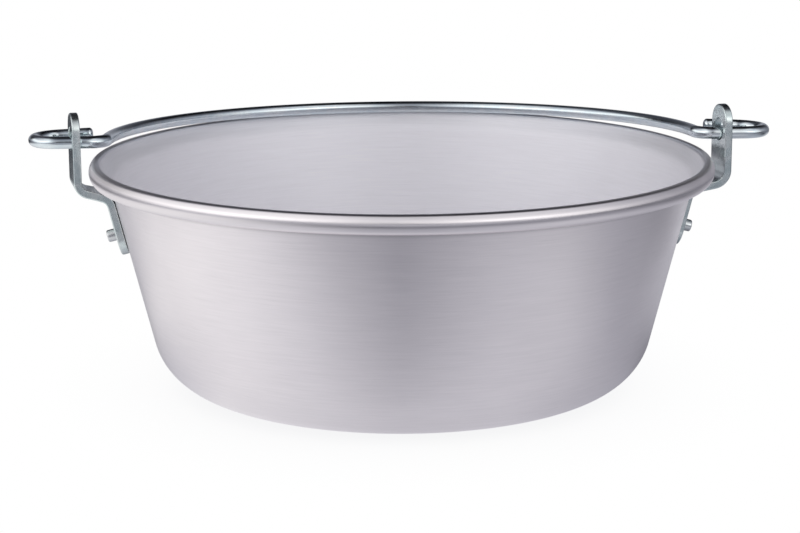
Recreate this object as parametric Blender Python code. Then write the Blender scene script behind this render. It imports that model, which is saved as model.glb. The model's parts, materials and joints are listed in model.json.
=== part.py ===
"""Open conical cauldron with a swinging bail handle.

Six separate pieces: the spun aluminium vessel, two bent flat-bar brackets, two solid rivets
and one round-rod bail whose hooked ends hang in the brackets' holes.

Frame: metres, +Z up. The origin is the centre of the base's underside. +X runs through the
right-hand bracket, and the bail lies back on the rim towards +Y at rest.
Profiles are (radius, height) points with the height measured from the rim's top.
"""

import math

import bmesh
import bpy
from mathutils import Matrix, Vector

# ---------------------------------------------------------------- shared dimensions (metres)
GAP = 0.0003                  # clearance between touching pieces
HEIGHT = 0.148                # base underside to the top of the rolled rim
SHEET = 0.0022                # sheet thickness of the vessel
RIM_R = 0.400 / 2             # outside of the rolled rim
WALL_TOP_Z = -0.020           # height at which the cone's radius is given
WALL_TOP_R = 0.1851           # outer radius of the cone there
WALL_SLOPE = 0.2476           # outward run of the cone per unit of height
WALL_SLANT = math.hypot(1.0, WALL_SLOPE)  # level distance per unit square to the cone
WALL_LEAN = math.atan(WALL_SLOPE)         # lean of the cone from vertical

BAR_W = 0.0225                # bracket bar width
BAR_T = 0.0052                # bracket bar thickness
UPRIGHT_R = 0.2088            # mid-thickness of the upright from the vessel's axis
EYE_D = 0.014                 # hole for the bail
EYE_Z = 0.0143                # hole centre above the rim's top

RIVET_Z = -0.047              # rivet axis at the wall's outer surface
RIVET_HOLE_D = 0.0057
RIVET_HOLE_STEPS = 24

ROD_D = 0.008                 # bail rod
SWING_Z = HEIGHT + EYE_Z - EYE_D / 2 + GAP + ROD_D / 2  # the bail's swing axis, above the origin

SHARP_ANGLE = math.radians(30)  # edges bent more than this are shaded sharp

# ---------------------------------------------------------------- finishes
ALUMINIUM = dict(colour=(0.78, 0.77, 0.80, 1.0), roughness=0.34)
ZINC = dict(colour=(0.62, 0.68, 0.70, 1.0), roughness=0.28)
BRIGHT_ZINC = dict(colour=(0.66, 0.71, 0.74, 1.0), roughness=0.20)
RIVET_STEEL = dict(colour=(0.64, 0.67, 0.69, 1.0), roughness=0.32)


def make_metal(name, colour, roughness):
    metal = bpy.data.materials.new(name)
    metal.use_nodes = True
    inputs = metal.node_tree.nodes["Principled BSDF"].inputs
    inputs["Base Color"].default_value = colour
    inputs["Roughness"].default_value = roughness
    inputs["Metallic"].default_value = 1.0
    metal.diffuse_color = colour
    return metal


# ---------------------------------------------------------------- paths
def between(start, end, share):
    return tuple(a + (b - a) * share for a, b in zip(start, end))


def arc(centre, radius, start, end, steps):
    """steps + 1 points on a circle from one angle to the other."""
    angles = [start + (end - start) * i / steps for i in range(steps + 1)]
    return [(centre[0] + radius * math.cos(a), centre[1] + radius * math.sin(a))
            for a in angles]


def bezier(start, pull_start, pull_end, end, steps):
    points = []
    for i in range(steps + 1):
        t = i / steps
        u = 1 - t
        points.append(tuple(u ** 3 * a + 3 * u * u * t * b + 3 * u * t * t * c + t ** 3 * d
                            for a, b, c, d in zip(start, pull_start, pull_end, end)))
    return points


def tangents(path):
    """Unit direction at each point, halfway between the directions of its two segments."""
    segments = []
    for start, end in zip(path, path[1:]):
        length = math.dist(start, end)
        segments.append([(b - a) / length for a, b in zip(start, end)])
    result = []
    for before, after in zip(segments[:1] + segments, segments + segments[-1:]):
        total = [a + b for a, b in zip(before, after)]
        length = math.hypot(*total)
        result.append(tuple(a / length for a in total))
    return result


def offset(path, distance):
    """The flat path moved to its left."""
    return [(x - along_y * distance, y + along_x * distance)
            for (x, y), (along_x, along_y) in zip(path, tangents(path))]


def cone_r(z, out=0.0):
    """Radius at height z of the cone's outer surface, moved out square to itself."""
    return WALL_TOP_R + (z - WALL_TOP_Z) * WALL_SLOPE + out * WALL_SLANT


# ---------------------------------------------------------------- meshes and objects
def clear_scene():
    for ob in list(bpy.data.objects):
        bpy.data.objects.remove(ob, do_unlink=True)


def make_object(name, bm, finish=None):
    bmesh.ops.recalc_face_normals(bm, faces=bm.faces[:])
    mesh = bpy.data.meshes.new(name)
    bm.to_mesh(mesh)
    bm.free()
    mesh.shade_smooth()
    mesh.set_sharp_from_angle(angle=SHARP_ANGLE)
    ob = bpy.data.objects.new(name, mesh)
    bpy.context.scene.collection.objects.link(ob)
    if finish is not None:
        mesh.materials.append(make_metal(name, **finish))
    return ob


def spin(profile, steps):
    """Spins an open (r, z) profile about Z. Points at r = 0 become poles."""
    bm = bmesh.new()
    verts = [bm.verts.new((r, 0.0, z)) for r, z in profile]
    edges = [bm.edges.new(pair) for pair in zip(verts, verts[1:])]
    bmesh.ops.spin(bm, geom=verts + edges, axis=(0, 0, 1), cent=(0, 0, 0),
                   angle=2 * math.pi, steps=steps, use_duplicate=False)
    bmesh.ops.remove_doubles(bm, verts=bm.verts[:], dist=1e-6)
    return bm


def spin_capped(profile, steps):
    """Spins an open profile and closes each end with one flat disc."""
    bm = spin(profile, steps)
    rims = [edge for edge in bm.edges if edge.is_boundary]
    bmesh.ops.holes_fill(bm, edges=rims, sides=0)
    return bm


def drill(target, name, profile, steps, frame):
    """Cuts the spun profile, placed in the frame, out of the target."""
    tool = make_object(name, spin_capped(profile, steps))
    tool.matrix_world = frame
    tool.hide_render = True
    tool.display_type = "WIRE"
    hole = target.modifiers.new("cut_" + name, "BOOLEAN")
    hole.operation = "DIFFERENCE"
    hole.solver = "EXACT"
    hole.object = tool


def side_turn(side):
    """Side 0 is the right-hand bracket on +X, side 1 its twin half a turn round."""
    return Matrix.Rotation(math.pi * side, 4, "Z")


def rivet_frame(side):
    """+Z outward along the rivet, its origin on the cone's outer surface."""
    out = Vector((1.0, 0.0, -WALL_SLOPE)).normalized()
    y_axis = Vector((0.0, 1.0, 0.0))
    frame = Matrix((y_axis.cross(out), y_axis, out)).transposed().to_4x4()
    frame.translation = Vector((cone_r(RIVET_Z), 0.0, HEIGHT + RIVET_Z))
    return side_turn(side) @ frame


def drill_rivet_hole(target, name, side, inner, outer):
    """Rivet hole between two distances from the cone's outer surface."""
    radius = RIVET_HOLE_D / 2
    drill(target, name, [(radius, inner), (radius, outer)], RIVET_HOLE_STEPS, rivet_frame(side))


# ---------------------------------------------------------------- the vessel
SEGMENTS = 64                 # facets around the vessel
BASE_DISC_R = 0.060           # flat disc in the middle of the base
CORNER_R = 0.041              # outer radius of the base corner
CORNER_STEPS = 8
CONE_RINGS = (-0.070, -0.040)  # heights of the rings along the cone

FLARE_LEAN = math.radians(38)  # lean of the straight flare above the cone
FLARE_EASE = 0.0025           # half height of the soft bend between cone and flare
CREST_IN_R = 0.1947           # radius at which the flare rolls over into the flat crest
CREST_OUT_R = 0.1964          # radius at which the flat crest turns down
CREST_TURN = 0.0024           # how tightly the sheet turns at both
CREST_END = math.radians(30)  # angle on the outer turn where the rim's side begins
SIDE_PULL_TOP = 0.0017        # pull of the side's curve at its upper end
SIDE_PULL_LOW = 0.0019        # pull at its lower end
BEAD_A = 0.0047               # half width of the rolled rim
BEAD_B = 0.0057               # depth of the rim's widest line below its top
BEAD_UNDER = 0.0062           # depth of the roll below its widest line
ROLL_END = math.radians(165)  # the roll stops just short of the cone

# steps along each part of the rim's face
RIM_STEPS = dict(bend=3, flare=1, crest=3, turn=4, side=4, under=9)
FINE_RIM_STEPS = dict(bend=20, flare=60, crest=40, turn=40, side=40, under=40)


def rim_face(bend, flare, crest, turn, side, under):
    """Visible face of the rim, from the cone's inside up the flare, over the crest, down and
    back under."""
    flare_run = math.tan(FLARE_LEAN)
    crest_start = math.pi - FLARE_LEAN
    flare_top = (CREST_IN_R + CREST_TURN * math.cos(crest_start),
                 CREST_TURN * (math.sin(crest_start) - 1))

    # soft bend about the corner where the cone would meet the straight flare
    corner_z = ((cone_r(0.0, -SHEET) - flare_top[0] + flare_top[1] * flare_run)
                / (flare_run - WALL_SLOPE))
    corner = (cone_r(corner_z, -SHEET), corner_z)
    low = (cone_r(corner_z - FLARE_EASE, -SHEET), corner_z - FLARE_EASE)
    high = (corner[0] + FLARE_EASE * flare_run, corner_z + FLARE_EASE)
    points = bezier(low, between(low, corner, 2 / 3), between(high, corner, 2 / 3), high, bend)

    points += [between(high, flare_top, i / flare) for i in range(1, flare + 1)]
    points += arc((CREST_IN_R, -CREST_TURN), CREST_TURN, crest_start, math.pi / 2, crest)[1:]
    points += arc((CREST_OUT_R, -CREST_TURN), CREST_TURN, math.pi / 2, CREST_END, turn)

    side_top = points[-1]
    pull_top = (side_top[0] + math.sin(CREST_END) * SIDE_PULL_TOP,
                side_top[1] - math.cos(CREST_END) * SIDE_PULL_TOP)
    points += bezier(side_top, pull_top, (RIM_R, -BEAD_B + SIDE_PULL_LOW),
                     (RIM_R, -BEAD_B), side)[1:]
    for i in range(1, under + 1):
        angle = -ROLL_END * i / under
        points.append((RIM_R - BEAD_A + BEAD_A * math.cos(angle),
                       -BEAD_B + BEAD_UNDER * math.sin(angle)))
    return points


def sheet_path():
    """Mid-thickness line of the sheet, from the flat base out, up the cone and around the rim."""
    half_sheet = SHEET / 2
    base_z = -HEIGHT + half_sheet
    corner_r = CORNER_R - half_sheet
    corner_turn = math.pi / 2 - WALL_LEAN
    flat_end = cone_r(base_z, -half_sheet) - corner_r * math.tan(corner_turn / 2)
    path = [(BASE_DISC_R, base_z)]
    path += arc((flat_end, base_z + corner_r), corner_r,
                -math.pi / 2, -math.pi / 2 + corner_turn, CORNER_STEPS)
    path += [(cone_r(z, -half_sheet), z) for z in CONE_RINGS]
    path += offset(rim_face(**RIM_STEPS), -half_sheet)
    return path


def make_vessel():
    middle = sheet_path()
    inner = offset(middle, SHEET / 2)
    outer = offset(middle, -SHEET / 2)
    # the two discs of the base lie exactly at their heights
    inner[0] = (inner[0][0], -HEIGHT + SHEET)
    outer[0] = (outer[0][0], -HEIGHT)
    profile = [(r, z + HEIGHT) for r, z in outer + inner[::-1]]
    vessel = make_object("vessel", spin_capped(profile, SEGMENTS), ALUMINIUM)
    for side in (0, 1):
        drill_rivet_hole(vessel, "rivet_drill_%d" % side, side, inner=-0.008, outer=0.008)


# ---------------------------------------------------------------- brackets
BAR_EDGE = 0.0010             # rounding along the bar's edges
BAR_END_STEPS = 12            # facets around each rounded end
UPRIGHT_TOP = 0.0306          # bracket top above the rim's top
ARM_RISE = math.radians(12.7)  # climb of the arm away from the vessel
ARM_Z = -0.0211               # mid-thickness of the arm at the rim's outer radius
ARM_PARTS = 4                 # lengths along the arm
ELBOW_BEND_R = 0.00875        # mid radius of the bend between arm and upright
ELBOW_STEPS = 9
KNEE_BEND_R = 0.0075          # mid radius of the bend between leg and arm
KNEE_STEPS = 8
LEG_END_Z = -0.0613           # lower end of the leg
TWIST = math.radians(11.4)    # set of the upright about its own vertical line
ARM_TWIST = 0.55              # share of the twist taken along the arm, the elbow takes the rest
EYE_EASE = 0.0005             # easing of the eye's rims
EYE_STEPS = 32


def bar_bend(corner, radius, start, end, steps):
    """(r, z, direction) stations round a corner. A negative radius turns anticlockwise."""
    setback = radius * math.tan((start - end) / 2)
    centre_r = corner[0] - math.cos(start) * setback + math.sin(start) * radius
    centre_z = corner[1] - math.sin(start) * setback - math.cos(start) * radius
    directions = [start + (end - start) * i / steps for i in range(steps + 1)]
    return [(centre_r - math.sin(d) * radius, centre_z + math.cos(d) * radius, d)
            for d in directions]


def bar_line():
    """Mid-thickness line of the bar, from the leg's end to the upright's top.

    Its stations are (r, z, direction, share of the twist)."""
    leg_out = GAP + BAR_T / 2
    leg_dir = math.pi / 2 - WALL_LEAN
    arm_slope = math.tan(ARM_RISE)

    # mid lines of leg and arm meet at the knee, those of arm and upright at the elbow
    knee_z = ((ARM_Z + (cone_r(0.0, leg_out) - RIM_R) * arm_slope)
              / (1 - WALL_SLOPE * arm_slope))
    knee = (cone_r(knee_z, leg_out), knee_z)
    elbow = (UPRIGHT_R, ARM_Z + (UPRIGHT_R - RIM_R) * arm_slope)
    knee_bend = bar_bend(knee, KNEE_BEND_R, leg_dir, ARM_RISE, KNEE_STEPS)
    elbow_bend = bar_bend(elbow, -ELBOW_BEND_R, ARM_RISE, math.pi / 2, ELBOW_STEPS)

    leg_z = LEG_END_Z + BAR_W / 2 * math.cos(WALL_LEAN)
    stations = [(cone_r(leg_z, leg_out), leg_z, leg_dir, 0.0)]
    stations += [place + (0.0,) for place in knee_bend]
    for i in range(1, ARM_PARTS):
        share = i / ARM_PARTS
        r, z = between(knee_bend[-1][:2], elbow_bend[0][:2], share)
        stations.append((r, z, ARM_RISE, ARM_TWIST * share))
    stations += [place + (ARM_TWIST + (1 - ARM_TWIST) * i / ELBOW_STEPS,)
                 for i, place in enumerate(elbow_bend)]
    stations.append((UPRIGHT_R, UPRIGHT_TOP - BAR_W / 2, math.pi / 2, 1.0))
    return stations


def bar_point(station, along, across, out, side):
    """A point of the bar: along its line past the station, across it, and out through its
    thickness, which on the arm means down."""
    r, z, direction, share = station
    from_upright = r + math.cos(direction) * along + math.sin(direction) * out - UPRIGHT_R
    height = z + math.sin(direction) * along - math.cos(direction) * out
    # the twist turns the section about the upright's own vertical line
    twist = TWIST * share
    x = UPRIGHT_R + from_upright * math.cos(twist) - across * math.sin(twist)
    y = from_upright * math.sin(twist) + across * math.cos(twist)
    return side_turn(side) @ Vector((x, y, height + HEIGHT))


def add_bar_end(bm, station, rung, sign, side):
    """Half-round end: one flat face on each side of the bar and a ring of edge faces."""
    outer, inner = [], []
    for i in range(1, BAR_END_STEPS):
        angle = math.pi * i / BAR_END_STEPS
        along = sign * BAR_W / 2 * math.sin(angle)
        across = -BAR_W / 2 * math.cos(angle)
        outer.append(bm.verts.new(bar_point(station, along, across, BAR_T / 2, side)))
        inner.append(bm.verts.new(bar_point(station, along, across, -BAR_T / 2, side)))
    outer = [rung[0]] + outer + [rung[1]]
    inner = [rung[3]] + inner + [rung[2]]
    bm.faces.new(outer)
    bm.faces.new(inner)
    for i in range(len(outer) - 1):
        bm.faces.new((outer[i], outer[i + 1], inner[i + 1], inner[i]))


def join_rings(bm, rings):
    for ring, following in zip(rings, rings[1:]):
        count = len(ring)
        for i in range(count):
            j = (i + 1) % count
            bm.faces.new((ring[i], ring[j], following[j], following[i]))


def drill_eye(bracket, side):
    """Eye for the bail: square to the upright, its rims eased."""
    radius, half = EYE_D / 2, BAR_T / 2
    mouth_r, mouth_z = radius + EYE_EASE * 3, half + EYE_EASE * 2
    profile = [(mouth_r, -mouth_z), (radius, -half + EYE_EASE),
               (radius, half - EYE_EASE), (mouth_r, mouth_z)]
    frame = (side_turn(side) @ Matrix.Translation((UPRIGHT_R, 0, HEIGHT + EYE_Z))
             @ Matrix.Rotation(TWIST, 4, "Z") @ Matrix.Rotation(math.pi / 2, 4, "Y"))
    drill(bracket, bracket.name + "_eye_drill", profile, EYE_STEPS, frame)


def make_bracket(name, side):
    half_w, half_t = BAR_W / 2, BAR_T / 2
    corners = ((-half_w, half_t), (half_w, half_t), (half_w, -half_t), (-half_w, -half_t))
    stations = bar_line()
    bm = bmesh.new()
    rungs = [[bm.verts.new(bar_point(station, 0.0, across, out, side))
              for across, out in corners] for station in stations]
    join_rings(bm, rungs)
    add_bar_end(bm, stations[0], rungs[0], -1.0, side)
    add_bar_end(bm, stations[-1], rungs[-1], 1.0, side)
    bracket = make_object(name, bm, ZINC)

    bevel = bracket.modifiers.new("edge", "BEVEL")
    bevel.width = BAR_EDGE
    bevel.segments = 3
    bevel.limit_method = "ANGLE"
    bevel.angle_limit = math.radians(50)
    drill_eye(bracket, side)
    drill_rivet_hole(bracket, name + "_rivet_drill", side, inner=-0.003, outer=0.010)


# ---------------------------------------------------------------- rivets
RIVET_STEPS = 28
SHANK_D = 0.005
HEAD_D = 0.0078
HEAD_H = 0.0058
HEAD_EDGE = 0.0007            # rounding of the head's outer edge
HEAD_FLAT_INSET = HEAD_EDGE * 1.6  # the head's end face stops this far inside its side
HEAD_DISH = 0.0002            # depth of the head's centre below its end face
TAIL_D = 0.0092
TAIL_H = 0.0024
TAIL_GAP = 0.0004             # clearance between the wall's inner surface and the tail
TAIL_EDGE = 0.0004            # easing of the tail's edge next to the wall
DOME_START = math.radians(12)
DOME_STEPS = 5


def make_rivet(name, side):
    """One solid: a plain cylindrical head outside, the shank, and a domed tail inside."""
    head_seat = GAP + BAR_T + GAP
    head_end = head_seat + HEAD_H
    tail_seat = -SHEET - TAIL_GAP
    profile = [(0.0, head_end - HEAD_DISH), (HEAD_D / 2 - HEAD_FLAT_INSET, head_end)]
    profile += arc((HEAD_D / 2 - HEAD_EDGE, head_end - HEAD_EDGE), HEAD_EDGE,
                   math.radians(60), 0.0, 2)
    profile += [(HEAD_D / 2, head_seat), (SHANK_D / 2, head_seat),
                (SHANK_D / 2, tail_seat), (TAIL_D / 2 - TAIL_EDGE, tail_seat)]
    for i in range(DOME_STEPS):
        angle = DOME_START + (math.pi / 2 - DOME_START) * i / DOME_STEPS
        profile.append((TAIL_D / 2 * math.cos(angle),
                        tail_seat - TAIL_EDGE - (TAIL_H - TAIL_EDGE) * math.sin(angle)))
    profile.append((0.0, tail_seat - TAIL_H))
    rivet = make_object(name, spin(profile, RIVET_STEPS), RIVET_STEEL)
    rivet.matrix_world = rivet_frame(side)


# ---------------------------------------------------------------- bail
ARC_R = 0.1913                # centreline radius of the bail's main arc
ARC_STEPS = 30
ARC_LEAD = math.radians(2.0)  # the arc's first point lies this far past the end of the knee
KNEE_R = 0.0115               # centreline radius of the outward bend next to each bracket
KNEE_ARC_STEPS = 7
RUN_END = 0.2216              # where the straight run through the eye ends
HOOK_R = 0.0155               # centreline radius of the hook
HOOK_STEPS = 14
HOOK_SPLAY = math.radians(4.0)  # how far the hook turns short of a full half turn
TIP_X = 0.2010                # where the hook's tip ends
HOOK_LIFT = 0.0022            # how far the hook's tip climbs out of the bail's plane
SIDE_PLAY = 0.0020            # the bail hangs this far to the right in its two eyes
ROD_SIDES = 12
ROD_EASE = 0.0010             # easing of the rod's ends
# rings of an eased end, from the tip inwards: (distance from the tip, loss of radius),
# both as shares of ROD_EASE
ROD_END_RINGS = ((0.0, 1.0), (0.3, 0.35), (1.0, 0.0))
STEEPEST_REST = math.radians(6)  # upper limit in the search for the resting tilt


def rest_tilt():
    """How far the bail droops at rest so that it lies GAP clear of the rim's roll at the back."""
    rim = [(r, z + HEIGHT) for r, z in rim_face(**FINE_RIM_STEPS)]

    def clearance(tilt):
        crown = (ARC_R * math.cos(tilt), SWING_Z - ARC_R * math.sin(tilt))
        return min(math.dist(point, crown) for point in rim) - ROD_D / 2

    clear, steep = 0.0, STEEPEST_REST
    for _ in range(40):
        middle = (clear + steep) / 2
        if clearance(middle) > GAP:
            clear = middle
        else:
            steep = middle
    return clear


def hook_path():
    """Right-hand hook from its tip to the straight run, climbing more and more to its tip."""
    curl = arc((RUN_END, HOOK_R), HOOK_R, math.pi / 2 + HOOK_SPLAY, -math.pi / 2, HOOK_STEPS)
    tip = (TIP_X, curl[0][1] - math.tan(HOOK_SPLAY) * (curl[0][0] - TIP_X))
    points = [tip, between(tip, curl[0], 0.5)] + curl
    points.reverse()
    distances = [0.0]
    for start, end in zip(points, points[1:]):
        distances.append(distances[-1] + math.dist(start, end))
    lifted = [(x, y, HOOK_LIFT * (distance / distances[-1]) ** 2)
              for (x, y), distance in zip(points, distances)]
    return lifted[::-1]


def bail_path():
    """Centreline in the bail's own frame: X along the swing axis, Y towards the big arc."""
    knee_x = math.sqrt(ARC_R ** 2 - KNEE_R ** 2)       # the knee meets the arc's circle here
    arc_start = math.atan2(KNEE_R, knee_x) + ARC_LEAD
    flat = [((RUN_END + UPRIGHT_R) / 2, 0.0)]
    flat += arc((knee_x + KNEE_R, KNEE_R), KNEE_R, -math.pi / 2, -math.pi, KNEE_ARC_STEPS)
    flat += arc((0.0, 0.0), ARC_R, arc_start, math.pi / 2, ARC_STEPS)
    right = hook_path() + [(x, y, 0.0) for x, y in flat]
    return right + [(-x, y, z) for x, y, z in right[-2::-1]]


def rod_end(centre, inward):
    """(centre, radius) of the rings of an eased end, from the tip inwards."""
    return [(centre + inward * ROD_EASE * inset, ROD_D / 2 - ROD_EASE * loss)
            for inset, loss in ROD_END_RINGS]


def make_bail():
    path = bail_path()
    centres = [Vector(point) for point in path]
    along = [Vector(direction) for direction in tangents(path)]
    sections = [(centre, tangent, radius)
                for centre, radius in rod_end(centres[0], along[0])
                for tangent in along[:1]]
    sections += [(centre, tangent, ROD_D / 2)
                 for centre, tangent in zip(centres[1:-1], along[1:-1])]
    sections += [(centre, along[-1], radius)
                 for centre, radius in reversed(rod_end(centres[-1], -along[-1]))]

    bm = bmesh.new()
    shift = Vector((SIDE_PLAY, 0.0, 0.0))
    rings = []
    for centre, tangent, radius in sections:
        level = Vector((-tangent.y, tangent.x, 0.0)).normalized()
        up = tangent.cross(level)
        angles = [2 * math.pi * k / ROD_SIDES for k in range(ROD_SIDES)]
        rings.append([bm.verts.new(centre + shift
                                   + (level * math.cos(a) + up * math.sin(a)) * radius)
                      for a in angles])
    join_rings(bm, rings)
    bm.faces.new(rings[0])
    bm.faces.new(rings[-1])
    bail = make_object("bail_handle", bm, BRIGHT_ZINC)
    bail.location = (0.0, 0.0, SWING_Z)
    bail.rotation_euler = (-rest_tilt(), 0.0, 0.0)


clear_scene()
make_vessel()
for side_index, side_name in enumerate(("right", "left")):
    make_bracket("bracket_" + side_name, side_index)
for side_index, side_name in enumerate(("right", "left")):
    make_rivet("rivet_" + side_name, side_index)
make_bail()
bpy.context.view_layer.update()
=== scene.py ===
"""A spun-aluminium kettle: an open cone with a rolled rim, two riveted brackets and a wire bail.

It stands upright on z = 0 with its axis on Z. The right bracket is at +X and the left one at -X.
The camera stands at the front (-Y), and the bail lies down towards the back (+Y).
Outlines are (radius, height) pairs. Heights in them, and all the *_Z sizes except AXIS_Z and
RIVET_AXIS_Z, are measured from the top of the rim, so they are negative below it.
"""
import json
import math

import bmesh
import bpy
from mathutils import Matrix, Vector

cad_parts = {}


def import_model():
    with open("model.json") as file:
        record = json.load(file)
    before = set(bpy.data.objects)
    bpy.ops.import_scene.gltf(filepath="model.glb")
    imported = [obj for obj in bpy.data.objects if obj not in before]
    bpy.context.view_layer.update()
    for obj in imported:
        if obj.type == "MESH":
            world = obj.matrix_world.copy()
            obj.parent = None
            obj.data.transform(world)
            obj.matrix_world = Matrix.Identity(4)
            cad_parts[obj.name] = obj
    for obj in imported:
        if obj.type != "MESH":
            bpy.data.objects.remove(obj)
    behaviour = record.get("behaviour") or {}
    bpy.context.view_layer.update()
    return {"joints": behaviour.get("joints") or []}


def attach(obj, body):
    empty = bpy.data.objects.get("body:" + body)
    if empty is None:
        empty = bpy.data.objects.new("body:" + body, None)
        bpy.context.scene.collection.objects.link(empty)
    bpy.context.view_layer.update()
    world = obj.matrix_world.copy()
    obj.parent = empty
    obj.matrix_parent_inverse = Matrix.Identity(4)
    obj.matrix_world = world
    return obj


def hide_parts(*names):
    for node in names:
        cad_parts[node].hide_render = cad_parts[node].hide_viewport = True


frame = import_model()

# ------------------------------------------------------------------ sizes (metres)
# vessel
RIM_R = 0.200
HEIGHT = 0.148
SHEET = 0.0022                    # thickness of the metal
WALL_TOP_Z = -0.020               # where the cone's outside has the radius WALL_R_TOP
WALL_R_TOP = 0.1851
WALL_SLOPE = 0.2476               # radius gained per height
WALL_STRETCH = math.hypot(1.0, WALL_SLOPE)   # level distance per distance square to the wall
CORNER_R = 0.041                  # outside of the corner between base and wall
FLOOR_RADII = (0.0, 0.02, 0.05, 0.08, 0.105)
WALL_RINGS_Z = (-0.108, -0.018)   # the wall's rings lie between these
FLARE_LEAN = math.radians(38)     # the straight flare inside the rim, from the vertical
FLARE_EASE = 0.0025               # half height of the bend from cone to flare
CREST_IN = 0.1947                 # the crest is flat between these two radii
CREST_R = 0.1964
CREST_TURN = 0.0024               # rounding on both sides of the crest
CREST_END = math.radians(30)      # where the outer rounding stops, above the horizontal
BEAD_A = 0.0047                   # half width of the rolled bead
BEAD_B = 0.0057                   # depth of its widest point
BEAD_UNDER = 0.0062               # its depth below that point
BEAD_WRAP = math.radians(165)     # the roll stops just short of the cone

# brackets, bent from flat bar with round ends
BAR_W = 0.0225
BAR_T = 0.0052
BAR_EDGE = 0.0010
UPRIGHT_R = 0.2088
UPRIGHT_TOP = 0.0306
ARM_RISE = math.radians(12.7)
ARM_Z = -0.0211                   # the arm's height at the rim's radius
BEND_OUT_R = 0.00875
BEND_IN_R = 0.0075
LEG_END_Z = -0.0613
TWIST = math.radians(11.4)        # turn of the upright about the vertical
ARM_TWIST = 0.55                  # share of the twist reached at the arm's outer end
EYE_D = 0.014
EYE_Z = 0.0143
EYE_EASE = 0.0005

# rivets
RIVET_Z = -0.047
SHANK_D = 0.005
RIVET_HOLE_D = 0.0057
HEAD_D = 0.0078
HEAD_H = 0.0058
HEAD_EDGE = 0.0009
TAIL_D = 0.0092
TAIL_H = 0.0024
TAIL_START = math.radians(8)      # the angle at which the tail's dome begins
RIVET_EASE = 0.0003

# bail
ROD_D = 0.008
ROD_EDGE = 0.0023                 # rounding of the cut ends
ARC_R = 0.1913
KNEE_R = 0.0115
RUN_END = 0.2216                  # the straight run through the eye ends here
HOOK_R = 0.0155
HOOK_SPLAY = math.radians(4.0)
TIP_X = 0.2010
HOOK_LIFT = 0.0022
SIDE_PLAY = 0.0020                # the bail sits this far to the right
GAP = 0.0003                      # air between touching pieces

AXIS_Z = frame["joints"][0]["pos_m"][2]
RIVET_AXIS_Z = HEIGHT + RIVET_Z
CAM_TURN = math.radians(4.3)      # the camera stands this far round, nearer the left bracket


# ------------------------------------------------------------------ outline helpers
def lerp(start, end, share):
    return tuple(a + (b - a) * share for a, b in zip(start, end))


def arc(cx, cy, radius, start, end, steps):
    angles = [start + (end - start) * i / steps for i in range(steps + 1)]
    return [(cx + radius * math.cos(a), cy + radius * math.sin(a)) for a in angles]


def bezier(p0, p1, p2, p3, steps):
    points = []
    for i in range(steps + 1):
        t = i / steps
        u = 1 - t
        points.append(tuple(u ** 3 * a + 3 * u * u * t * b + 3 * u * t * t * c + t ** 3 * d
                            for a, b, c, d in zip(p0, p1, p2, p3)))
    return points


def offset(path, distance):
    """Moves each point to the left of the path's direction."""
    steps = []
    for (x0, y0), (x1, y1) in zip(path, path[1:]):
        length = math.hypot(x1 - x0, y1 - y0)
        steps.append(((x1 - x0) / length, (y1 - y0) / length))
    moved = []
    for (x, y), before, after in zip(path, steps[:1] + steps, steps + steps[-1:]):
        dx, dy = before[0] + after[0], before[1] + after[1]
        length = math.hypot(dx, dy)
        moved.append((x - dy / length * distance, y + dx / length * distance))
    return moved


def catmull(points, steps):
    """A smooth curve through the points (centripetal Catmull-Rom)."""
    def between(t, start, end, a, b):
        return a * ((end - t) / (end - start)) + b * ((t - start) / (end - start))

    points = [Vector(p) for p in points]
    points = [points[0] * 2 - points[1]] + points + [points[-1] * 2 - points[-2]]
    curve = []
    for i in range(1, len(points) - 2):
        near = points[i - 1:i + 3]
        knots = [0.0]
        for a, b in zip(near, near[1:]):
            knots.append(knots[-1] + math.sqrt((b - a).length))
        for k in range(steps):
            t = knots[1] + (knots[2] - knots[1]) * k / steps
            first, middle, last = [between(t, knots[j], knots[j + 1], near[j], near[j + 1])
                                   for j in range(3)]
            curve.append(between(t, knots[1], knots[2],
                                 between(t, knots[0], knots[2], first, middle),
                                 between(t, knots[1], knots[3], middle, last)))
    curve.append(points[-2])
    return curve


# ------------------------------------------------------------------ mesh helpers
def link(ob):
    bpy.context.scene.collection.objects.link(ob)
    return ob


def shade(mesh, sharp):
    """Smooth shading, broken at edges steeper than sharp degrees."""
    mesh.shade_smooth()
    mesh.set_sharp_from_angle(angle=math.radians(sharp))


def object_from(name, mesh, sharp=30.0):
    mesh.validate()
    bm = bmesh.new()
    bm.from_mesh(mesh)
    bmesh.ops.recalc_face_normals(bm, faces=bm.faces[:])
    bm.to_mesh(mesh)
    bm.free()
    shade(mesh, sharp)
    return link(bpy.data.objects.new(name, mesh))


def lathe(name, profile, sides, sharp=30.0):
    """Spins (r, z) points about Z; the first and last points lie on the axis."""
    angles = [2 * math.pi * k / sides for k in range(sides)]
    verts = [(0.0, 0.0, profile[0][1])]
    rings = []
    for r, z in profile[1:-1]:
        rings.append(len(verts))
        verts += [(r * math.cos(a), r * math.sin(a), z) for a in angles]
    last = len(verts)
    verts.append((0.0, 0.0, profile[-1][1]))
    around = [(k, (k + 1) % sides) for k in range(sides)]
    faces = [(0, rings[0] + k, rings[0] + m) for k, m in around]
    for a, b in zip(rings[:-1], rings[1:]):
        faces += [(a + k, b + k, b + m, a + m) for k, m in around]
    faces += [(last, rings[-1] + m, rings[-1] + k) for k, m in around]
    mesh = bpy.data.meshes.new(name)
    mesh.from_pydata(verts, [], faces)
    return object_from(name, mesh, sharp)


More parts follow.
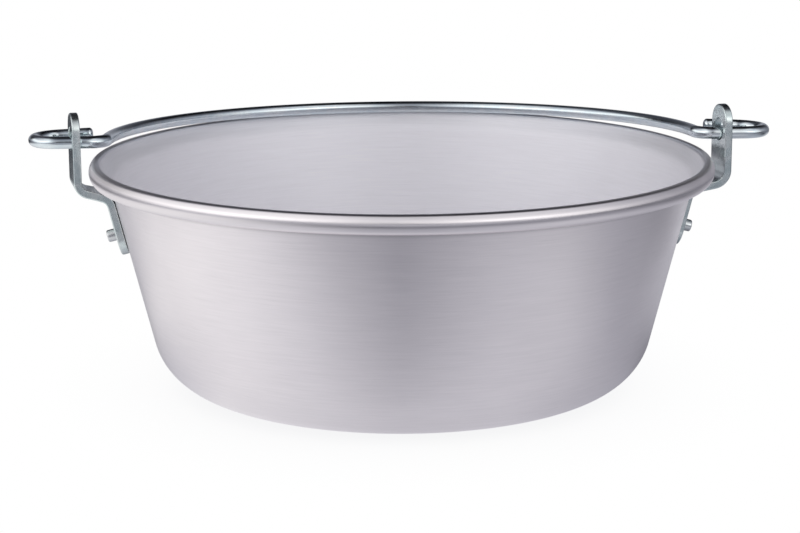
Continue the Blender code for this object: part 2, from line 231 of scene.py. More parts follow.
def drill(diameter, low, high, matrix, sides, ease=0.0):
    """A cutter along local Z; ease opens both of its mouths a little."""
    radius = diameter / 2
    if ease:
        profile = [(0.0, low - 3 * ease), (radius + 3 * ease, low - 2 * ease),
                   (radius, low + ease), (radius, high - ease),
                   (radius + 3 * ease, high + 2 * ease), (0.0, high + 3 * ease)]
    else:
        profile = [(0.0, low), (radius, low), (radius, high), (0.0, high)]
    ob = lathe("drill", profile, sides)
    ob.matrix_world = matrix
    return ob


def cut(ob, tools):
    """Cuts the tools out of ob, applies all its modifiers and removes the tools."""
    for tool in tools:
        boolean = ob.modifiers.new("cut", "BOOLEAN")
        boolean.operation = "DIFFERENCE"
        boolean.solver = "EXACT"
        boolean.object = tool
    bpy.context.view_layer.update()
    depsgraph = bpy.context.evaluated_depsgraph_get()
    mesh = bpy.data.meshes.new_from_object(ob.evaluated_get(depsgraph))
    old = ob.data
    ob.modifiers.clear()
    ob.data = mesh
    mesh.name = old.name
    for tool in tools:
        bpy.data.objects.remove(tool, do_unlink=True)


def wall_radius(z):
    """Outside of the cone."""
    return WALL_R_TOP + (z - WALL_TOP_Z) * WALL_SLOPE


def half_turn(side):
    """Places a piece made at +X: side 0 stays on the right, side 1 goes to the left."""
    return Matrix.Rotation(math.pi * side, 4, "Z")


def rivet_frame(side):
    """Origin on the wall's outside, with Z pointing square out of the wall."""
    out = Vector((1.0, 0.0, -WALL_SLOPE)).normalized()
    across = Vector((0.0, 1.0, 0.0))
    matrix = Matrix((across.cross(out), across, out)).transposed().to_4x4()
    matrix.translation = Vector((wall_radius(RIVET_Z), 0.0, RIVET_AXIS_Z))
    return half_turn(side) @ matrix


# ------------------------------------------------------------------ vessel
def rim_face(flare, slope, crest, turn, side, under):
    """Visible face of the rim: from the cone's inside up the flare, over the crest, down the
    bead's side and back under. The arguments are the number of steps in each part."""
    steep = math.tan(FLARE_LEAN)

    def inside(z):
        return wall_radius(z) - SHEET * WALL_STRETCH

    top_angle = math.pi - FLARE_LEAN
    top = (CREST_IN + CREST_TURN * math.cos(top_angle), CREST_TURN * (math.sin(top_angle) - 1))
    # the bend is drawn round the corner where the cone would meet the straight flare
    corner_z = (inside(0.0) - top[0] + top[1] * steep) / (steep - WALL_SLOPE)
    corner = (inside(corner_z), corner_z)
    low = (inside(corner_z - FLARE_EASE), corner_z - FLARE_EASE)
    high = (corner[0] + FLARE_EASE * steep, corner_z + FLARE_EASE)
    points = bezier(low, lerp(low, corner, 2 / 3), lerp(high, corner, 2 / 3), high, flare)
    points += [lerp(high, top, i / slope) for i in range(1, slope + 1)]
    points += arc(CREST_IN, -CREST_TURN, CREST_TURN, top_angle, math.pi / 2, crest)[1:]
    points += arc(CREST_R, -CREST_TURN, CREST_TURN, math.pi / 2, CREST_END, turn)

    # the bead's side, with the lengths of the curve's two handles
    handle_top, handle_side = 0.0017, 0.0019
    r, z = points[-1]
    points += bezier((r, z),
                     (r + math.sin(CREST_END) * handle_top, z - math.cos(CREST_END) * handle_top),
                     (RIM_R, -BEAD_B + handle_side), (RIM_R, -BEAD_B), side)[1:]
    for i in range(1, under + 1):
        a = -BEAD_WRAP * i / under
        points.append((RIM_R - BEAD_A + BEAD_A * math.cos(a), -BEAD_B + BEAD_UNDER * math.sin(a)))
    return points


def sheet_path():
    """Middle of the sheet, from the centre of the base to the end of the roll."""
    half = SHEET / 2
    floor_z = -HEIGHT + half
    corner_r = CORNER_R - half
    turn = math.pi / 2 - math.atan(WALL_SLOPE)

    def middle(z):
        return wall_radius(z) - half * WALL_STRETCH

    flat_end = middle(floor_z) - corner_r * math.tan(turn / 2)
    points = [(r, floor_z) for r in FLOOR_RADII]
    points += arc(flat_end, floor_z + corner_r, corner_r, -math.pi / 2, -math.pi / 2 + turn, 30)
    low, high = WALL_RINGS_Z
    for i in range(1, 12):
        z = low + (high - low) * i / 12
        points.append((middle(z), z))
    return points + offset(rim_face(14, 6, 12, 14, 14, 34), -half)


def make_vessel():
    path = sheet_path()
    inner = offset(path, SHEET / 2)
    outer = offset(path, -SHEET / 2)
    inner[0] = (0.0, -HEIGHT + SHEET)
    outer[0] = (0.0, -HEIGHT)
    # one point past the sheet's end makes a blunt lip where the roll stops
    lip = SHEET * 0.16
    (r0, z0), (r1, z1) = path[-2:]
    step = math.hypot(r1 - r0, z1 - z0)
    r, z = lerp(outer[-1], inner[-1], 0.5)
    tip = (r + (r1 - r0) / step * lip, z + (z1 - z0) / step * lip)
    profile = outer + [tip] + inner[::-1]
    ob = lathe("vessel_spun", [(r, z + HEIGHT) for r, z in profile], 256, sharp=42)
    cut(ob, [drill(RIVET_HOLE_D, -0.008, 0.008, rivet_frame(side), sides=32) for side in (0, 1)])
    shade(ob.data, sharp=42)
    return ob


# ------------------------------------------------------------------ brackets
def bend(start, radius, from_dir, to_dir, steps, from_twist=0.0, to_twist=0.0):
    """Stations round a bend; the radius is positive for a turn to the left."""
    r = start[0] - math.sin(from_dir) * radius
    z = start[1] + math.cos(from_dir) * radius
    stations = []
    for i in range(steps + 1):
        d = from_dir + (to_dir - from_dir) * i / steps
        stations.append((r + math.sin(d) * radius, z - math.cos(d) * radius, d,
                         from_twist + (to_twist - from_twist) * i / steps))
    return stations


def bar_line():
    """Middle of the bar, leg to upright: stations of (r, z, direction, share of the twist)."""
    lean = math.atan(WALL_SLOPE)
    shift = (GAP + BAR_T / 2) * WALL_STRETCH

    def leg_r(z):
        return wall_radius(z) + shift

    # the knee and the elbow are the sharp corners that the two bends round off
    rise = math.tan(ARM_RISE)
    knee_z = (ARM_Z + (leg_r(0.0) - RIM_R) * rise) / (1 - WALL_SLOPE * rise)
    elbow_z = ARM_Z + (UPRIGHT_R - RIM_R) * rise
    leg_dir = math.pi / 2 - lean
    knee_cut = BEND_IN_R * math.tan((leg_dir - ARM_RISE) / 2)
    elbow_cut = BEND_OUT_R * math.tan((math.pi / 2 - ARM_RISE) / 2)

    end_z = LEG_END_Z + BAR_W / 2 * math.cos(lean)
    stations = [(leg_r(end_z), end_z, leg_dir, 0.0)]
    leg_top = (leg_r(knee_z) - math.cos(leg_dir) * knee_cut,
               knee_z - math.sin(leg_dir) * knee_cut)
    stations += bend(leg_top, -BEND_IN_R, leg_dir, ARM_RISE, 24)
    arm_start = stations[-1][:2]
    arm_end = (UPRIGHT_R - math.cos(ARM_RISE) * elbow_cut,
               elbow_z - math.sin(ARM_RISE) * elbow_cut)
    for i in range(1, 12):
        stations.append((*lerp(arm_start, arm_end, i / 12), ARM_RISE, ARM_TWIST * i / 12))
    stations += bend(arm_end, BEND_OUT_R, ARM_RISE, math.pi / 2, 27, ARM_TWIST, 1.0)
    stations.append((UPRIGHT_R, UPRIGHT_TOP - BAR_W / 2, math.pi / 2, 1.0))
    return stations


def bar_point(station, along, across, out, side):
    """A point of the bar, measured from a station along, across and through the bar."""
    r, z, d, share = station
    reach = r + math.cos(d) * along + math.sin(d) * out - UPRIGHT_R
    z += math.sin(d) * along - math.cos(d) * out
    twist = TWIST * share
    x = UPRIGHT_R + reach * math.cos(twist) - across * math.sin(twist)
    y = reach * math.sin(twist) + across * math.cos(twist)
    return half_turn(side) @ Vector((x, y, z + HEIGHT))


def bar_mesh(name, side):
    stations = bar_line()
    bm = bmesh.new()
    half, face = BAR_W / 2, BAR_T / 2

    def vert(station, along, across, out):
        return bm.verts.new(bar_point(station, along, across, out, side))

    corners = ((-half, face), (half, face), (half, -face), (-half, -face))
    rungs = [[vert(s, 0.0, across, out) for across, out in corners] for s in stations]
    for a, b in zip(rungs[:-1], rungs[1:]):
        for i in range(4):
            bm.faces.new((a[i], a[(i + 1) % 4], b[(i + 1) % 4], b[i]))
    # half-round ends
    steps = 40
    for s, rung, sign in ((stations[0], rungs[0], -1.0), (stations[-1], rungs[-1], 1.0)):
        top, bottom = [], []
        for i in range(1, steps):
            a = math.pi * i / steps
            along, across = sign * half * math.sin(a), -half * math.cos(a)
            top.append(vert(s, along, across, face))
            bottom.append(vert(s, along, across, -face))
        top = [rung[0]] + top + [rung[1]]
        bottom = [rung[3]] + bottom + [rung[2]]
        bm.faces.new(top)
        bm.faces.new(bottom)
        for i in range(len(top) - 1):
            bm.faces.new((top[i], top[i + 1], bottom[i + 1], bottom[i]))
    mesh = bpy.data.meshes.new(name)
    bm.to_mesh(mesh)
    bm.free()
    return mesh


def make_bracket(name, side):
    ob = object_from(name, bar_mesh(name, side))
    bevel = ob.modifiers.new("edge", "BEVEL")
    bevel.width = BAR_EDGE
    bevel.segments = 5
    bevel.limit_method = "ANGLE"
    bevel.angle_limit = math.radians(50)
    eye = half_turn(side) @ Matrix.Translation((UPRIGHT_R, 0, HEIGHT + EYE_Z)) \
        @ Matrix.Rotation(TWIST, 4, "Z") @ Matrix.Rotation(math.pi / 2, 4, "Y")
    cut(ob, [drill(EYE_D, -BAR_T / 2, BAR_T / 2, eye, sides=64, ease=EYE_EASE),
             drill(RIVET_HOLE_D, -0.003, 0.012, rivet_frame(side), sides=32)])
    shade(ob.data, sharp=30)
    even = ob.modifiers.new("even", "WEIGHTED_NORMAL")
    even.keep_sharp = True
    even.weight = 90
    return ob


# ------------------------------------------------------------------ rivets
def make_rivet(name, side):
    """A thick head outside the bracket, a shank, and a domed tail inside the wall."""
    head_r, shank_r, tail_r = HEAD_D / 2, SHANK_D / 2, TAIL_D / 2
    head_in = GAP + BAR_T + GAP
    head_out = head_in + HEAD_H
    tail_out = -SHEET - 0.0004
    # the head's end is slightly dished and its side slightly bulged
    profile = [(0.0, head_out - 0.0001), (0.0012, head_out - 0.00005),
               (head_r - HEAD_EDGE * 1.5, head_out)]
    profile += arc(head_r - HEAD_EDGE, head_out - HEAD_EDGE, HEAD_EDGE, math.pi / 2, 0.0, 9)[1:]
    profile += [(head_r + 0.00008, head_in + HEAD_H * 0.45), (head_r, head_in + RIVET_EASE),
                (head_r - RIVET_EASE, head_in), (shank_r, head_in), (shank_r, tail_out),
                (tail_r - RIVET_EASE, tail_out), (tail_r - 0.0001, tail_out - 0.00012)]
    steps = 14
    for i in range(steps):
        a = TAIL_START + (math.pi / 2 - TAIL_START) * i / steps
        profile.append((tail_r * math.cos(a),
                        tail_out - RIVET_EASE - (TAIL_H - RIVET_EASE) * math.sin(a)))
    profile.append((0.0, tail_out - TAIL_H))
    ob = lathe(name, profile, 64, sharp=40)
    ob.data.transform(rivet_frame(side))
    return ob


# ------------------------------------------------------------------ bail
def rest_tilt():
    """The angle at which the bail, swung down to the back, comes to rest on the rim."""
    rim = [Vector((r, z + HEIGHT)) for r, z in rim_face(20, 60, 40, 40, 40, 40)]

    def clearance(tilt):
        rod = Vector((ARC_R * math.cos(tilt), AXIS_Z - ARC_R * math.sin(tilt)))
        return min((p - rod).length for p in rim) - ROD_D / 2

    low, high = 0.0, math.radians(6)
    for _ in range(40):
        middle = (low + high) / 2
        if clearance(middle) > GAP:
            low = middle
        else:
            high = middle
    return low


def bail_path():
    """Middle of the rod, lying flat: right tip, hook, run through the eye, knee, then the arc
    and the same mirrored on the left."""
    hook_start = math.pi / 2 + HOOK_SPLAY
    hook = arc(RUN_END, HOOK_R, HOOK_R, hook_start, -math.pi / 2, 14)
    tip_len = (hook[0][0] - TIP_X) / math.cos(HOOK_SPLAY)
    tip = (TIP_X, hook[0][1] - math.sin(HOOK_SPLAY) * tip_len)
    half = [tip, lerp(tip, hook[0], 0.5)] + hook
    lifted = len(half)
    half.append(((RUN_END + UPRIGHT_R) / 2, 0.0))
    knee_x = math.sqrt(ARC_R ** 2 - KNEE_R ** 2)
    half += arc(knee_x + KNEE_R, KNEE_R, KNEE_R, -math.pi / 2, -math.pi, 7)
    arc_start = math.atan2(KNEE_R, knee_x) + math.radians(2.0)
    half += arc(0.0, 0.0, ARC_R, arc_start, math.pi / 2, 30)
    # the hook rises with the square of the distance from its foot
    run = [0.0] * len(half)
    for i in range(lifted - 2, -1, -1):
        run[i] = run[i + 1] + math.dist(half[i], half[i + 1])
    half = [(x, y, HOOK_LIFT * (d / run[0]) ** 2) for (x, y), d in zip(half, run)]
    return half + [(-x, y, z) for x, y, z in half[-2::-1]]


def rod_end(point, tangent):
    """Rings of (centre, tangent, radius) round off the cut end, whose tangent points inwards."""
    rings = []
    for i in range(12):
        a = math.radians(90 - 7.5 * i)
        rings.append((point + tangent * ROD_EDGE * (1 - math.sin(a)), tangent,
                      ROD_D / 2 - ROD_EDGE * (1 - math.cos(a))))
    return rings


def rod_stations():
    path = catmull(bail_path(), 4)
    steps = [(b - a).normalized() for a, b in zip(path, path[1:])]
    tangents = [(before + after).normalized()
                for before, after in zip(steps[:1] + steps, steps + steps[-1:])]
    first, last = path[0], path[-1]
    clear = ROD_EDGE * 1.2
    inner = [(p, t, ROD_D / 2) for p, t in zip(path, tangents)
             if (p - first).length > clear and (p - last).length > clear]
    tail = [(p, tangents[-1], radius) for p, _, radius in rod_end(last, -tangents[-1])]
    return rod_end(first, tangents[0]) + inner + tail[::-1]


def make_bail():
    stations = rod_stations()
    sides = 32
    verts, faces = [], []
    shift = Vector((SIDE_PLAY, 0.0, 0.0))
    for centre, tangent, radius in stations:
        normal = Vector((-tangent.y, tangent.x, 0.0)).normalized()
        up = tangent.cross(normal)
        for k in range(sides):
            a = 2 * math.pi * k / sides
            spoke = normal * math.cos(a) + up * math.sin(a)
            verts.append(tuple(centre + shift + spoke * radius))
    for j in range(len(stations) - 1):
        for k in range(sides):
            a, b = j * sides + k, j * sides + (k + 1) % sides
            faces.append((a, b, b + sides, a + sides))
    end = (len(stations) - 1) * sides
    verts.append(tuple(stations[0][0] + shift))
    verts.append(tuple(stations[-1][0] + shift))
    for k in range(sides):
        faces.append((len(verts) - 2, (k + 1) % sides, k))
        faces.append((len(verts) - 1, end + k, end + (k + 1) % sides))
    mesh = bpy.data.meshes.new("bail_rod")
    mesh.from_pydata(verts, [], faces)
    ob = object_from("bail_rod", mesh, sharp=60)
    ob.data.transform(Matrix.Translation((0, 0, AXIS_Z)) @ Matrix.Rotation(-rest_tilt(), 4, "X"))
    return ob


# ------------------------------------------------------------------ node helpers
class Nodes:
    """Adds nodes to a tree. Values may be numbers or sockets, and outputs come back as sockets."""

    def __init__(self, tree):
        self.tree = tree
        self.count = 0

    def new(self, kind, **props):
        node = self.tree.nodes.new(kind)
        node.location = (self.count * 30, -(self.count % 9) * 160)
        self.count += 1
        for key, value in props.items():
            setattr(node, key, value)
        return node

    def put(self, socket, value):
        if isinstance(value, bpy.types.NodeSocket):
            self.tree.links.new(value, socket)
        else:
            socket.default_value = value

    def fill(self, node, *values):
        for socket, value in zip(node.inputs, values):
            self.put(socket, value)
        return node.outputs

    def math(self, operation, *values):
        return self.fill(self.new("ShaderNodeMath", operation=operation), *values)[0]

    def add(self, a, b):
        return self.math("ADD", a, b)

    def sub(self, a, b):
        return self.math("SUBTRACT", a, b)

    def mul(self, a, b):
        return self.math("MULTIPLY", a, b)

    def madd(self, value, times, plus):
        return self.math("MULTIPLY_ADD", value, times, plus)

    def weighted(self, *pairs):
        """Sum of (value, weight) pairs."""
        total = self.mul(*pairs[0])
        for value, weight in pairs[1:]:
            total = self.add(total, self.mul(value, weight))
        return total

    def vmath(self, operation, *values):
        """A vector operation whose result is a number."""
        return self.fill(self.new("ShaderNodeVectorMath", operation=operation), *values)[1]

    def scaled(self, vector, factor):
        node = self.new("ShaderNodeVectorMath", operation="SCALE")
        self.put(node.inputs[0], vector)
        self.put(node.inputs["Scale"], factor)
        return node.outputs[0]

    def combine(self, x, y, z):
        return self.fill(self.new("ShaderNodeCombineXYZ"), x, y, z)[0]

    def separate(self, vector):
        return self.fill(self.new("ShaderNodeSeparateXYZ"), vector)

    def linear(self, value, span, to, kind="LINEAR"):
        """Maps the span onto the range to."""
        node = self.new("ShaderNodeMapRange", interpolation_type=kind)
        return self.fill(node, value, *span, *to)[0]

    def smooth(self, value, span):
        """Eases from 0 to 1 over the span."""
        return self.linear(value, span, (0.0, 1.0), "SMOOTHSTEP")

    def mix(self, share, off, on):
        """Blends two colours."""
        node = self.new("ShaderNodeMix", data_type="RGBA")
        for index, value in ((0, share), (6, off), (7, on)):
            self.put(node.inputs[index], value)
        return node.outputs[2]

    def blend(self, share, off, on):
        """Blends two numbers."""
        node = self.new("ShaderNodeMix", data_type="FLOAT")
        for index, value in ((0, share), (2, off), (3, on)):
            self.put(node.inputs[index], value)
        return node.outputs[0]

    def noise(self, vector, scale, detail, rough, distortion=0.0):
        node = self.new("ShaderNodeTexNoise", noise_dimensions="3D")
        self.put(node.inputs["Vector"], vector)
        node.inputs["Scale"].default_value = scale
        node.inputs["Detail"].default_value = detail
        node.inputs["Roughness"].default_value = rough
        node.inputs["Distortion"].default_value = distortion
        return node.outputs[0]

    def bump(self, height, strength, distance, under=None):
        """A bump, laid over the normal under if there is one."""
        node = self.new("ShaderNodeBump")
        node.inputs["Strength"].default_value = strength
        node.inputs["Distance"].default_value = distance
        self.put(node.inputs["Height"], height)
        if under:
            self.put(node.inputs["Normal"], under)
        return node.outputs[0]

    def ramp(self, value, stops):
        """A straight-line ramp through (position, RGB) stops."""
        node = self.new("ShaderNodeValToRGB")
        node.color_ramp.interpolation = "LINEAR"
        elements = node.color_ramp.elements
        while len(elements) > 1:
            elements.remove(elements[0])
        for i, (position, colour) in enumerate(stops):
            element = elements[0] if i == 0 else elements.new(position)
            element.position = position
            element.color = (*colour, 1.0)
        self.put(node.inputs[0], value)
        return node.outputs[0]

    def source(self, kind, colour):
        """A background or an emission of strength 1."""
        node = self.new(kind)
        self.put(node.inputs["Color"], colour)
        return node.outputs[0]

    def finish_split(self, kind, lit, seen):
        """Ends in an output of this kind: the camera gets seen, all other rays get lit."""
        rays = self.new("ShaderNodeLightPath")
        mix = self.new("ShaderNodeMixShader")
        surface = self.fill(mix, rays.outputs["Is Camera Ray"], lit, seen)[0]
        self.put(self.new(kind).inputs["Surface"], surface)


def new_metal(name):
    material = bpy.data.materials.new(name)
    material.use_nodes = True
    shader = material.node_tree.nodes["Principled BSDF"]
    shader.inputs["Metallic"].default_value = 1.0
    return material, Nodes(material.node_tree), shader.inputs


# ------------------------------------------------------------------ materials
ALU_OUTSIDE = (0.862, 0.822, 0.838, 1.0)
ALU_INSIDE = (0.955, 0.940, 0.975, 1.0)
NOISE_SPAN = (0.3, 0.7)           # where most of a noise's values fall


def aluminium():
    """Satin spun aluminium: fine rings round the axis, drawn out and broken like a brushed
    surface."""
    material, net, inputs = new_metal("spun_aluminium")
    place = net.new("ShaderNodeTexCoord").outputs["Object"]
    x, y, z = net.separate(place)
    r = net.vmath("LENGTH", net.combine(x, y, 0.0))
    safe_r = net.math("MAXIMUM", r, 0.0005)        # avoids dividing by zero on the axis
    cosine, sine = net.math("DIVIDE", x, safe_r), net.math("DIVIDE", y, safe_r)
    profile = net.add(r, z)                        # grows from the base's centre to the rim

    def streak(around, along, seed, detail):
        """Noise with its own frequencies round the axis and along the profile."""
        vector = net.combine(net.madd(cosine, times=around, plus=seed),
                             net.madd(sine, times=around, plus=seed * 1.7),
                             net.mul(profile, along))
        return net.noise(vector, scale=1.0, detail=detail, rough=0.55)

    coarse = streak(around=5.0, along=520.0, seed=3.0, detail=2.0)
    fine = streak(around=9.0, along=1900.0, seed=11.0, detail=3.0)
    hair = streak(around=2.2, along=3600.0, seed=23.0, detail=1.0)
    patch = net.noise(place, scale=9.0, detail=3.0, rough=0.5)
    cloud = net.noise(place, scale=26.0, detail=4.0, rough=0.6, distortion=0.4)
    # broken longer scratches
    scratch = net.smooth(streak(around=7.0, along=1300.0, seed=41.0, detail=1.0),
                         span=(0.66, 0.80))

    # inside faces look in at the axis
    normal = net.new("ShaderNodeNewGeometry").outputs["Normal"]
    inward = net.vmath("DOT_PRODUCT", normal, net.combine(cosine, sine, 0.0))
    inside = net.smooth(inward, span=(0.05, -0.05))

    # colour: light and dark lines, slow patches and darker scratches
    lines = net.linear(net.weighted((coarse, 0.5), (fine, 0.5)), span=(0.35, 0.65),
                       to=(-1.0, 1.0))
    tone = net.madd(lines, times=0.030, plus=1.0)
    tone = net.mul(tone, net.linear(patch, NOISE_SPAN, to=(0.975, 1.02)))
    tone = net.sub(tone, net.weighted((scratch, 0.05)))
    base = net.mix(inside, off=ALU_OUTSIDE, on=ALU_INSIDE)
    # painted shade: the outside wall just under the rolled rim is darkened where the bead's
    # overhang shades it
    under_bead_painted_shade = net.mul(net.smooth(z, span=(HEIGHT - 0.0165, HEIGHT - 0.0125)),
                     net.smooth(r, span=(RIM_R - 0.0085, RIM_R - 0.0125)))
    under_bead_painted_shade = net.mul(under_bead_painted_shade, net.sub(1.0, inside))
    tone = net.mul(tone, net.sub(1.0, net.weighted((under_bead_painted_shade, 0.35))))
    net.put(inputs["Base Color"], net.scaled(base, tone))

    # roughness: the inside is rougher, less so on the flare below the crest
    rough = net.madd(lines, times=0.035, plus=0.37)
    rough = net.add(rough, net.linear(cloud, NOISE_SPAN, to=(-0.03, 0.04)))
    rough = net.add(rough, net.weighted((inside, 0.22)))
    # the rolled rim was burnished by the beading roller and shines more than the cone
    rim = net.smooth(z, span=(HEIGHT - 0.0150, HEIGHT - 0.0105))
    rim = net.blend(inside, off=rim, on=net.smooth(z, span=(HEIGHT - 0.0020, HEIGHT - 0.0004)))
    flare = net.mul(inside, net.smooth(z, span=(HEIGHT - 0.0110, HEIGHT - 0.0060)))
    rough = net.sub(rough, net.weighted((flare, 0.20)))
    rim_rough = net.madd(lines, times=0.02, plus=0.33)
    net.put(inputs["Roughness"], net.blend(rim, off=rough, on=rim_rough))

    # highlights stretched by the rings
    stretch = net.blend(inside, off=0.72, on=0.30)
    net.put(inputs["Anisotropic"], net.blend(rim, off=stretch, on=0.80))
    net.put(inputs["Anisotropic Rotation"], net.blend(rim, off=0.25, on=0.0))
    # the inside has a thin milky oxide film
    film = net.mul(inside, net.sub(1.0, rim))
    film = net.mul(film, net.madd(flare, times=0.10, plus=1.0))
    net.put(inputs["Metallic"], net.blend(film, off=1.0, on=0.32))
    net.put(inputs["Tangent"], net.combine(net.mul(sine, -1.0), cosine, 0.0))

    ridges = net.bump(net.weighted((coarse, 0.55), (fine, 0.3), (hair, 0.15)),
                      strength=0.16, distance=0.00025)
    # slow waviness left by the spinning roller
    wave = net.bump(streak(around=1.4, along=90.0, seed=61.0, detail=1.0),
                    strength=0.10, distance=0.0010, under=ridges)
    net.put(inputs["Normal"], wave)
    return material


def zinc(name, thin, thick, rough, mottle):
    """Bright metal, cloudy between the colours thin and thick, with fine spangle and grain."""
    material, net, inputs = new_metal(name)
    place = net.new("ShaderNodeTexCoord").outputs["Object"]
    cloud = net.noise(place, scale=85.0, detail=4.0, rough=0.6, distortion=0.6)
    spangle = net.noise(place, scale=420.0, detail=2.0, rough=0.5)
    grain = net.noise(place, scale=1500.0, detail=2.0, rough=0.6)

    base = net.mix(net.smooth(cloud, span=(0.34, 0.66)), off=(*thin, 1.0), on=(*thick, 1.0))
    tone = net.linear(spangle, NOISE_SPAN, to=(1.0 - mottle, 1.0 + mottle * 0.5))
    spots = net.smooth(net.noise(place, scale=240.0, detail=3.0, rough=0.7), span=(0.66, 0.78))
    tone = net.sub(tone, net.weighted((spots, 0.10)))
    net.put(inputs["Base Color"], net.scaled(base, tone))

    cloud_rough = net.linear(cloud, NOISE_SPAN, to=(rough - 0.05, rough + 0.07))
    grain_rough = net.linear(grain, NOISE_SPAN, to=(-0.02, 0.03))
    net.put(inputs["Roughness"], net.add(cloud_rough, grain_rough))

    pits = net.bump(net.weighted((spangle, 0.6), (grain, 0.4)), strength=0.22, distance=0.00012)
    soft = net.bump(net.noise(place, scale=60.0, detail=2.0, rough=0.5),
                    strength=0.25, distance=0.0005, under=pits)
    net.put(inputs["Normal"], soft)
    return material


# ------------------------------------------------------------------ build the pieces
MATERIALS = {
    "spun_aluminium": aluminium(),
    "bracket_zinc": zinc("bracket_zinc", thin=(0.60, 0.69, 0.69), thick=(0.70, 0.75, 0.745),
                         rough=0.25, mottle=0.07),
    "bail_zinc": zinc("bail_zinc", thin=(0.66, 0.74, 0.78), thick=(0.74, 0.79, 0.81),
                      rough=0.12, mottle=0.03),
    "rivet_steel": zinc("rivet_steel", thin=(0.62, 0.65, 0.66), thick=(0.72, 0.73, 0.73),
                        rough=0.24, mottle=0.08),
}
HANDS = ("right", "left")


def dress(ob, body, slot, node):
    ob.data.materials.clear()
    ob.data.materials.append(MATERIALS[slot])
    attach(ob, body)
    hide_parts(node)


dress(make_vessel(), "kettle", "spun_aluminium", "vessel")
for side, hand in enumerate(HANDS):
    dress(make_bracket("bracket_bar_" + hand, side), "kettle", "bracket_zinc", "bracket_" + hand)
for side, hand in enumerate(HANDS):
    dress(make_rivet("rivet_solid_" + hand, side), "kettle", "rivet_steel", "rivet_" + hand)
dress(make_bail(), "bail", "bail_zinc", "bail_handle")


# ------------------------------------------------------------------ studio
# In both tables each row is a ring of (degrees from the camera, level); positive is to its right.
# A wide softbox on each side, a narrow grey gap between them behind the camera, black flags
# beyond them and a dark ceiling: (degrees above the horizon, ring).
SOFTBOXES = [
    (2, [(-180, 0.35), (-160, 0.38), (-128, 0.22), (-108, 0.50), (-90, 1.10), (-72, 1.25),
         (-54, 1.10), (-36, 0.70), (-18, 0.35), (0, 0.15), (18, 0.35), (36, 0.65), (54, 1.25),
         (72, 1.0), (90, 0.35), (108, 0.30), (144, 0.20), (162, 0.45)]),
    (18, [(-180, 0.10), (-162, 0.06), (-128, 0.01), (-112, 1.30), (-72, 1.45), (-54, 1.75),
          (-36, 1.55), (-18, 0.72), (-2, 0.02), (18, 1.15), (36, 2.05), (54, 1.40), (72, 0.95),
          (90, 0.50), (108, 0.38), (126, 0.20), (150, 0.05)]),
    (38, [(-180, 0.01), (-126, 0.12), (-108, 0.55), (-90, 0.70), (-54, 1.10), (-36, 1.35),
          (-18, 0.75), (0, 0.34), (18, 1.12), (36, 0.88), (54, 0.70), (72, 0.82), (90, 0.42),
          (108, 0.15), (144, 0.0)]),
    (58, [(-180, 0.0), (-126, 0.08), (-108, 0.35), (-72, 0.90), (-54, 0.95), (-36, 0.65),
          (-18, 0.30), (0, 0.28), (18, 0.38), (36, 0.85), (54, 0.98), (72, 0.65), (90, 0.25),
          (108, 0.05)]),
    (80, [(-126, 0.04), (0, 0.02), (126, 0.0)]),
]
# The table's brightness as the metal sees it: (metres from the kettle's axis, ring).
TABLE_GLOW = [
    (0.16, [(-180, 0.10), (-129, 0.06), (-103, 0.43), (-77, 0.65), (-51, 0.85), (-26, 0.75),
            (0, 0.63), (26, 0.62), (51, 0.50), (77, 0.38), (103, 0.16), (150, 0.14)]),
    (0.30, [(-180, 0.45), (-154, 0.25), (-129, 0.42), (-103, 0.95), (-77, 0.98), (-51, 0.84),
            (-26, 0.66), (0, 0.34), (26, 0.55), (51, 0.69), (77, 0.43), (103, 0.51),
            (129, 0.54), (154, 0.68)]),
    (0.55, [(-180, 0.74), (-129, 0.78), (-103, 0.88), (-77, 1.04), (-51, 0.93), (-26, 0.20),
            (0, 0.10), (26, 0.22), (77, 0.36), (103, 0.06), (129, 0.64), (154, 0.78)]),
    (0.90, [(-180, 0.30), (-160, 0.08), (-129, 0.05), (-103, 0.26), (-77, 0.70), (-51, 0.60),
            (-26, 0.22), (-12, 0.50), (10, 0.50), (50, 0.34), (77, 0.10), (103, 0.20),
            (154, 0.22)]),
]
# What the camera sees of the table: (openness, RGB), a touch darker where the kettle shades it.
TABLE_SHADE = [(0.0, (0.90, 0.90, 0.91)), (0.55, (0.985, 0.985, 0.987)), (0.90, (1.0, 1.0, 1.0))]


def azimuth(net, x, y):
    """0.5 towards the camera, 0.75 to its right, 0.25 to its left, 0 and 1 behind the kettle."""
    cosine, sine = math.cos(CAM_TURN), math.sin(CAM_TURN)
    right = net.weighted((x, cosine), (y, -sine))
    near = net.weighted((x, -sine), (y, -cosine))
    return net.madd(net.math("ARCTAN2", right, near), times=1 / (2 * math.pi), plus=0.5)


def cool(level):
    """Dim light comes off grey walls and is a little blue; bright light is white."""
    dim = max(0.0, 1.0 - level)
    return (level * (1 - 0.02 * dim), level, level * (1 + 0.20 * dim))


def rings(net, around, value, table):
    """Blends one ramp round the horizon into the next as the value rises."""
    def ring(stops):
        # both ends of the ramp, behind the kettle, get the same level
        first, last = stops[0], stops[-1]
        gap = 360 + first[0] - last[0]
        back = (first[1] * (180 - last[0]) + last[1] * (180 + first[0])) / gap
        full = [(-180, back)] + [s for s in stops if s[0] > -180] + [(180, back)]
        return net.ramp(around, [(d / 360.0 + 0.5, cool(level)) for d, level in full])

    colour = ring(table[0][1])
    for (low, _), (high, stops) in zip(table, table[1:]):
        colour = net.mix(net.smooth(value, span=(low, high)), colour, ring(stops))
    return colour


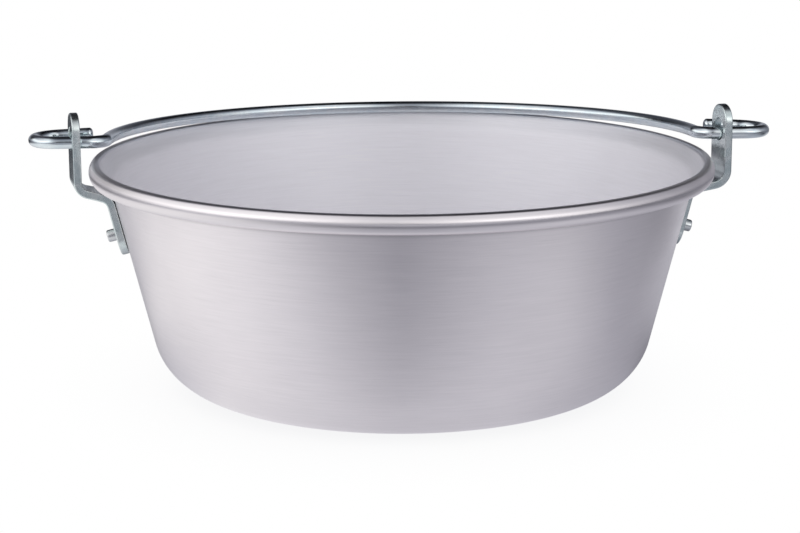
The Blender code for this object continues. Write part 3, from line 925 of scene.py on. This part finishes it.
def world():
    """The softboxes to the metal, plain white to the camera."""
    studio = bpy.data.worlds.new("studio")
    bpy.context.scene.world = studio
    studio.use_nodes = True
    studio.node_tree.nodes.clear()
    net = Nodes(studio.node_tree)
    x, y, z = net.separate(net.new("ShaderNodeTexCoord").outputs["Generated"])
    around = azimuth(net, x, y)
    elevation = net.mul(net.math("ARCSINE", z), 180 / math.pi)
    lit = net.source("ShaderNodeBackground", rings(net, around, elevation, SOFTBOXES))
    seen = net.source("ShaderNodeBackground", (1.0, 1.0, 1.0, 1.0))
    net.finish_split("ShaderNodeOutputWorld", lit, seen)


def floor():
    """A plain pale table to the camera; the metal reflects the uneven TABLE_GLOW instead."""
    bpy.ops.mesh.primitive_circle_add(vertices=96, radius=6.0, fill_type="NGON",
                                      location=(0, 0, -0.0004))
    ob = bpy.context.object
    ob.name = "studio_floor"
    material = bpy.data.materials.new("studio_floor")
    material.use_nodes = True
    material.node_tree.nodes.clear()
    net = Nodes(material.node_tree)
    x, y, _ = net.separate(net.new("ShaderNodeNewGeometry").outputs["Position"])
    around = azimuth(net, x, y)
    distance = net.vmath("LENGTH", net.combine(x, y, 0.0))
    lit = net.source("ShaderNodeEmission", rings(net, around, distance, TABLE_GLOW))
    occlusion = net.new("ShaderNodeAmbientOcclusion", samples=8)
    occlusion.inputs["Distance"].default_value = 0.10
    seen = net.source("ShaderNodeEmission", net.ramp(occlusion.outputs["AO"], TABLE_SHADE))
    net.finish_split("ShaderNodeOutputMaterial", lit, seen)
    ob.data.materials.append(material)


def camera():
    """Stands at the front, a little above the rim, turned slightly towards the left bracket."""
    elevation, distance, roll = 0.169284, 1.400, 0.00293   # about the centre of the rim
    # where the rim's centre lies off the optical axis before the roll: right, up, ahead
    aim = Vector((0.000941597, 0.05120694, 1.0)).normalized()
    place = Vector((0.0, -distance * math.cos(elevation), distance * math.sin(elevation)))
    ahead = (-place).normalized()
    right = Vector((1.0, 0.0, 0.0))
    hinge = Vector((0, 0, 1)).cross(aim)
    tilt = Matrix.Rotation(math.asin(hinge.length), 3, hinge.normalized())
    axes = Matrix.Rotation(roll, 3, "Z") @ tilt @ Matrix((right, right.cross(ahead), ahead))
    turn = Matrix.Rotation(-CAM_TURN, 3, "Z")
    right, up, ahead = [turn @ Vector(row) for row in axes]
    rotation = Matrix((right, up, -ahead)).transposed().to_4x4()
    lens = bpy.data.cameras.new("camera")
    lens.sensor_fit = "HORIZONTAL"
    lens.sensor_width = 36.0
    lens.lens = 97.6851
    lens.clip_start = 0.05
    lens.clip_end = 50.0
    ob = link(bpy.data.objects.new("camera", lens))
    ob.matrix_world = Matrix.Translation(turn @ place + Vector((0, 0, HEIGHT))) @ rotation
    bpy.context.scene.camera = ob


world()
floor()
camera()
view = bpy.context.scene.view_settings
view.view_transform = "Standard"
view.look = "None"
view.exposure = 0.0
view.gamma = 1.0
